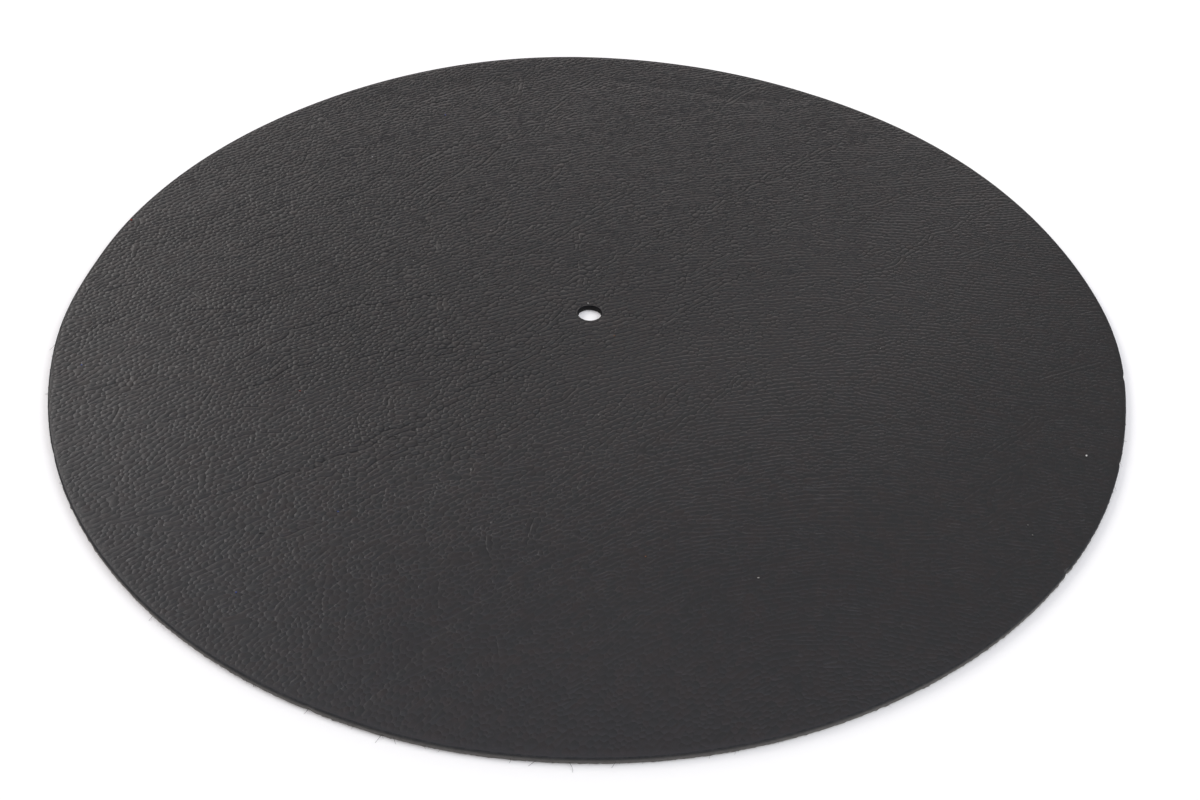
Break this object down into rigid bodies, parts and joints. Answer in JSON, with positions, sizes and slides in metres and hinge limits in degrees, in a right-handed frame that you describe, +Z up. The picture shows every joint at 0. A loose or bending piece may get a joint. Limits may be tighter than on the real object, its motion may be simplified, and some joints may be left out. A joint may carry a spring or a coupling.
{
  "type": "turntable platter mat",
  "caption": "Round mat of black pebbled leather with a punched hole for the spindle, laid on a turntable's platter under the record.",
  "frame": {"origin": "centre of the spindle hole, on the underside", "axes": "+Z up through the spindle hole, out of the grain side; +Y towards the side of the rim that curls up a little, +X to its right"},
  "size_m": [0.301, 0.3004, 0.0028],
  "materials": {
    "leather": "pebbled grain, soft sheen, suede underside"
  },
  "bodies": {
    "root": {"leather_mat": "leather"}
  },
  "joints": []
}
